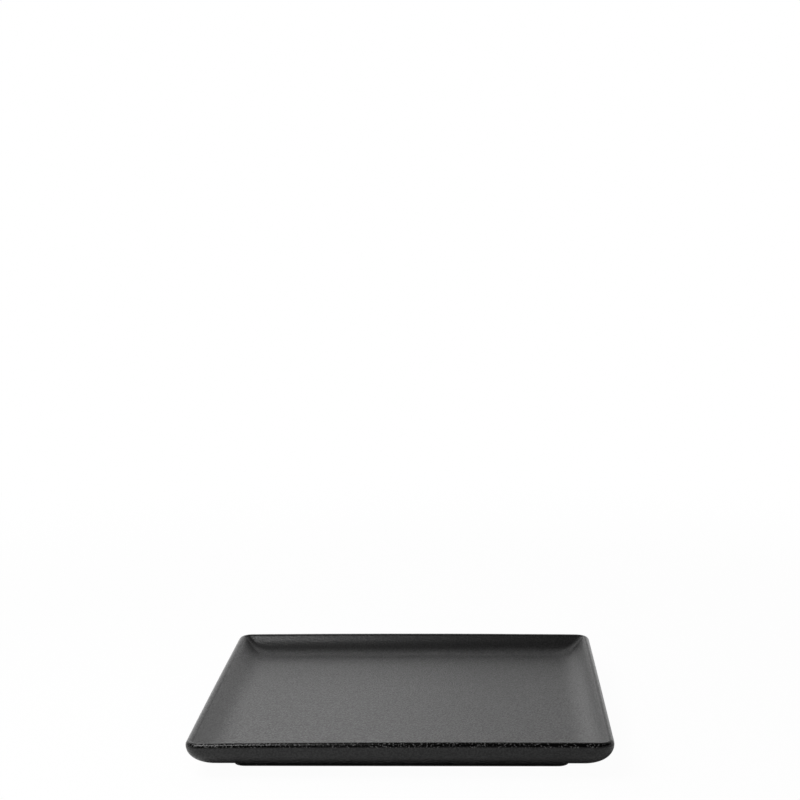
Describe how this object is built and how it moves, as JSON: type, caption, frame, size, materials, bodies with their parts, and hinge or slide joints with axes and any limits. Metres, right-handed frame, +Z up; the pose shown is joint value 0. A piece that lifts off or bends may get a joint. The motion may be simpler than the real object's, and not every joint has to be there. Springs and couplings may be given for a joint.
{
  "type": "square serving plate",
  "caption": "Matte black square stoneware serving plate with a shallow flat well, a low curved wall, a rounded lip and a square foot ring.",
  "frame": {"origin": "middle of the plane that the foot ring stands on", "axes": "+Z up, out of the well; X along the front edge, to the right; Y from the front edge to the back edge"},
  "size_m": [0.26, 0.26, 0.0229],
  "materials": {
    "clay": "bare fired black clay, fine matte grain",
    "satin_glaze": "satin matte black glaze with a fine grain",
    "lip_glaze": "thin, gritty black glaze with small glints"
  },
  "bodies": {
    "root": {"clay_body": "clay", "foot_ring": "clay", "well_glaze": "satin_glaze", "lip_glaze": "lip_glaze", "wall_glaze": "satin_glaze", "recess_glaze": "satin_glaze"}
  },
  "joints": []
}
